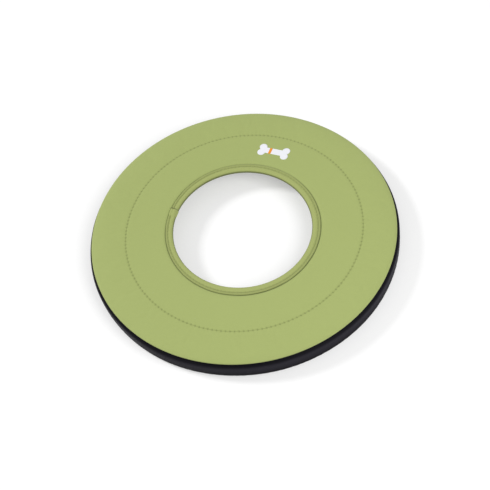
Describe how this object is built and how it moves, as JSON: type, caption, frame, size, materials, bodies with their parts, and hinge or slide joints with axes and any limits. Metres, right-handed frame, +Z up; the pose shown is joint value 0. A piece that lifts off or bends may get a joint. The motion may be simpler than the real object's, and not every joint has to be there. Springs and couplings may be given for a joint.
{
  "type": "soft flying ring",
  "caption": "Soft sewn throwing ring: a thin fabric web around a bound centre hole, a padded foam rim, and a dark coated band and underside.",
  "frame": {"origin": "centre of the ring on the plane it lies on", "axes": "+Z up along the ring's axis, through the centre hole, with the green face up; -Y towards the viewer, so the printed mark is on the far side at the right"},
  "size_m": [0.25, 0.25, 0.0183],
  "materials": {
    "face_fabric": "matt plain-woven polyester",
    "coated_fabric": "coated fabric with a soft sheen",
    "lining_fabric": "matt woven lining",
    "foam": "closed-cell foam, hidden",
    "binding_tape": "matt woven tape",
    "green_thread": "polyester thread",
    "dark_thread": "polyester thread",
    "print_white": "heat-pressed print film",
    "print_orange": "heat-pressed print film"
  },
  "bodies": {
    "root": {"top_panel": "face_fabric", "side_band": "coated_fabric", "bottom_panel": "coated_fabric", "inner_band": "coated_fabric", "web_lining": "lining_fabric", "web_foam": "foam", "rim_foam": "foam", "hole_binding": "binding_tape", "binding_lap": "binding_tape", "ring_stitch_top": "green_thread", "ring_stitch_bobbin": "dark_thread", "binding_stitch_top": "green_thread", "binding_stitch_bobbin": "dark_thread", "edge_seam_thread": "dark_thread", "outer_foot_thread": "dark_thread", "inner_foot_thread": "dark_thread", "print_bone": "print_white", "print_stripe": "print_orange"}
  },
  "joints": []
}
